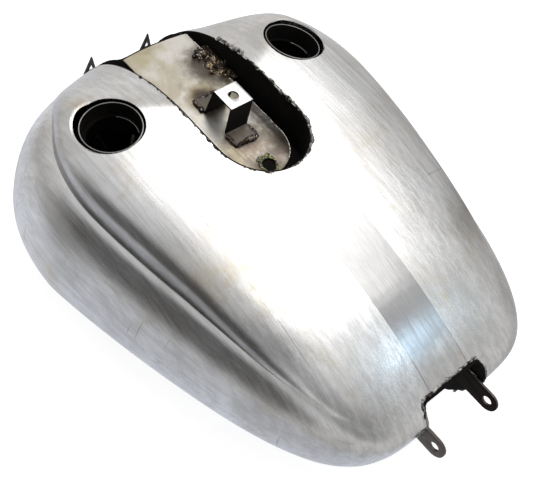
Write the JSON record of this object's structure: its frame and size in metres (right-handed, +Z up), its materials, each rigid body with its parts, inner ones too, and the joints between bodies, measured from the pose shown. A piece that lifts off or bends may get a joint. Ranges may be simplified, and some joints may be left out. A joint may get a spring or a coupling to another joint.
{
  "type": "motorcycle fuel tank",
  "caption": "Wide one-piece motorcycle fuel tank in bare steel with twin filler necks, a dash recess, a backbone tunnel and mounting tabs.",
  "frame": {"origin": "middle of the tank's box, on the surface that its bottom pans stand on", "axes": "+X to the rider's right, +Y towards the steering head, +Z up"},
  "size_m": [0.431, 0.5572, 0.1925],
  "materials": {
    "bare_steel": "ground and brushed bare sheet steel",
    "dark_steel": "dark hot-rolled steel, unpolished",
    "heat_tinted_steel": "bare steel with brown and straw weld heat tint"
  },
  "bodies": {
    "root": {"centre_strip": "bare_steel", "dash_bracket": "bare_steel", "dash_floor": "heat_tinted_steel", "dash_wall": "dark_steel", "front_left_lug": "dark_steel", "front_right_lug": "dark_steel", "left_baffle": "bare_steel", "left_bottom_pan": "bare_steel", "left_crossover_nipple": "bare_steel", "left_filler_neck": "bare_steel", "left_recess_gutter": "dark_steel", "left_shell": "bare_steel", "petcock_bung": "bare_steel", "rear_left_tab": "dark_steel", "rear_right_tab": "dark_steel", "right_baffle": "bare_steel", "right_bottom_pan": "bare_steel", "right_crossover_nipple": "bare_steel", "right_filler_neck": "bare_steel", "right_recess_gutter": "dark_steel", "right_shell": "bare_steel", "tunnel": "bare_steel", "vent_tube": "bare_steel"}
  },
  "joints": []
}
